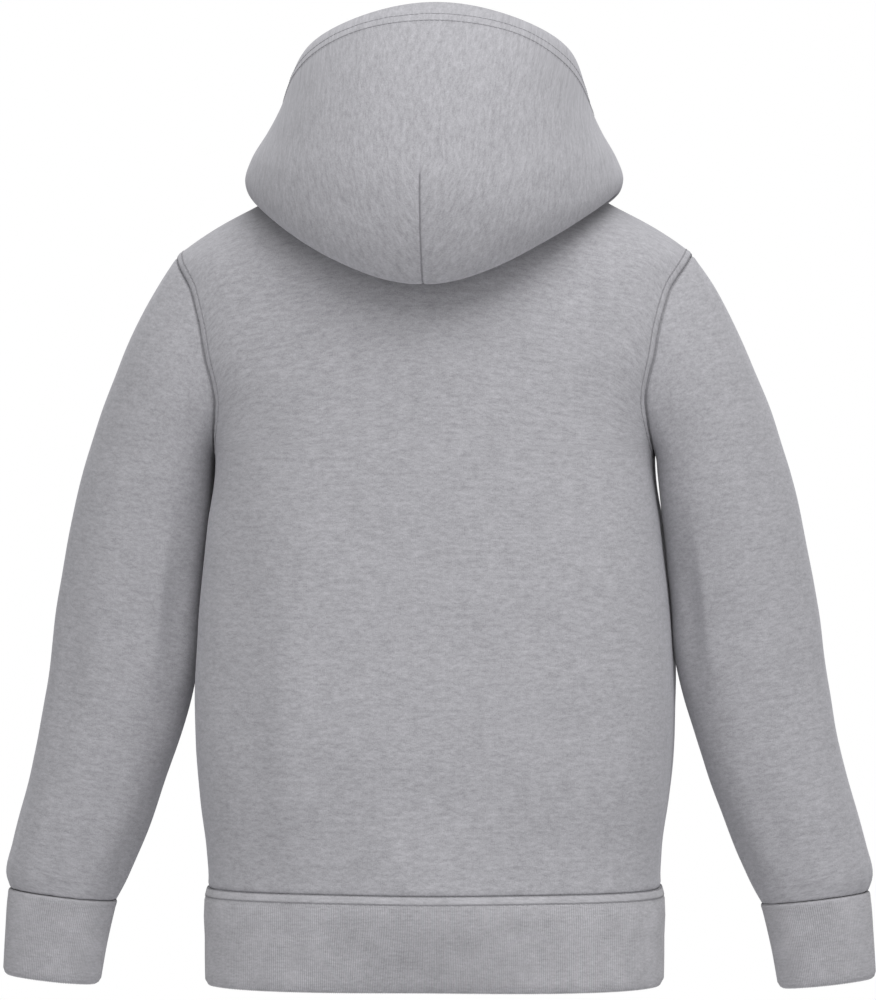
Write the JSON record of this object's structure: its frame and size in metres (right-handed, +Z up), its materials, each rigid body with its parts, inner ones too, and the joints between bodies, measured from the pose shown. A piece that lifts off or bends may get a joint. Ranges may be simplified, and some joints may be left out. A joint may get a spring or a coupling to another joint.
{
  "type": "toddler hoodie",
  "caption": "Pullover hoodie for a toddler in heather grey brushed fleece, filled out as if worn, with its hood down, set-in sleeves and ribbed cuffs and hem band.",
  "frame": {"origin": "midway between the two places where a shoulder seam meets the neck, at their height: the wearer's shoulders carry the garment there", "axes": "+Z up towards the top of the hood, the front faces -Y, and +X is the wearer's left"},
  "size_m": [0.4748, 0.2072, 0.5282],
  "materials": {
    "fleece": "matt heather grey fleece, flecked lighter and darker, with a soft brushed nap",
    "rib": "matt heather grey one by one rib knit",
    "thread": "grey twin-needle stitching, slightly darker than the cloth"
  },
  "bodies": {
    "root": {"back": "fleece", "front": "fleece", "hood": "fleece", "sleeve_left": "fleece", "sleeve_right": "fleece", "hem_band": "rib", "cuff_left": "rib", "cuff_right": "rib"}
  },
  "joints": []
}
